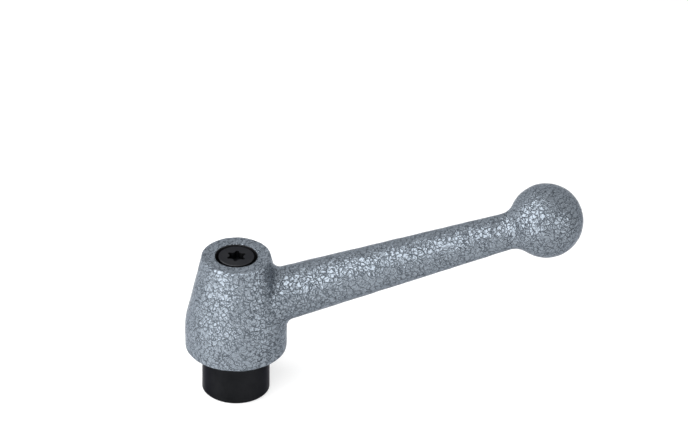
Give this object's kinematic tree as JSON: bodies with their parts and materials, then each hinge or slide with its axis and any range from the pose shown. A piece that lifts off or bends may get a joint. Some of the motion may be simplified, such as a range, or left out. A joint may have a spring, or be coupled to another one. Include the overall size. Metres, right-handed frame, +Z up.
{
  "type": "adjustable clamping lever",
  "caption": "Adjustable clamping lever with a tapered ball-ended arm, a splined and sprung cast hub, and a steel insert with a blind thread.",
  "frame": {"origin": "centre of the insert's seat face, on the clamping axis, where the stud's thread opens", "axes": "+Z up the clamping axis from the seat face towards the screw, +X along the lever's arm as seen from above, +Y by the right-hand rule"},
  "size_m": [0.1177, 0.0302, 0.0635],
  "materials": {
    "hammered_enamel": "hammered metallic enamel on a zinc casting, semi-gloss",
    "black_oxide_steel": "turned steel, black oxide, satin",
    "black_screw_steel": "black oxide, satin",
    "spring_steel": "drawn wire, bright"
  },
  "bodies": {
    "clamp_insert": {"threaded_insert": "black_oxide_steel", "retaining_screw": "black_screw_steel"},
    "spring": {"return_spring": "spring_steel"},
    "lever": {"lever_handle": "hammered_enamel"}
  },
  "joints": [
    {"name": "lever_swivel", "type": "hinge", "parent": "clamp_insert", "child": "spring", "pos_m": [0, 0, 0], "axis": [0, 0, 1], "continuous": true},
    {"name": "lever_lift", "type": "slide", "parent": "spring", "child": "lever", "axis": [0, 0, 1], "range_m": [0, 0.005], "stiffness_N_per_m": 3650, "springref_m": -0.004, "deforming": ["return_spring"]}
  ]
}
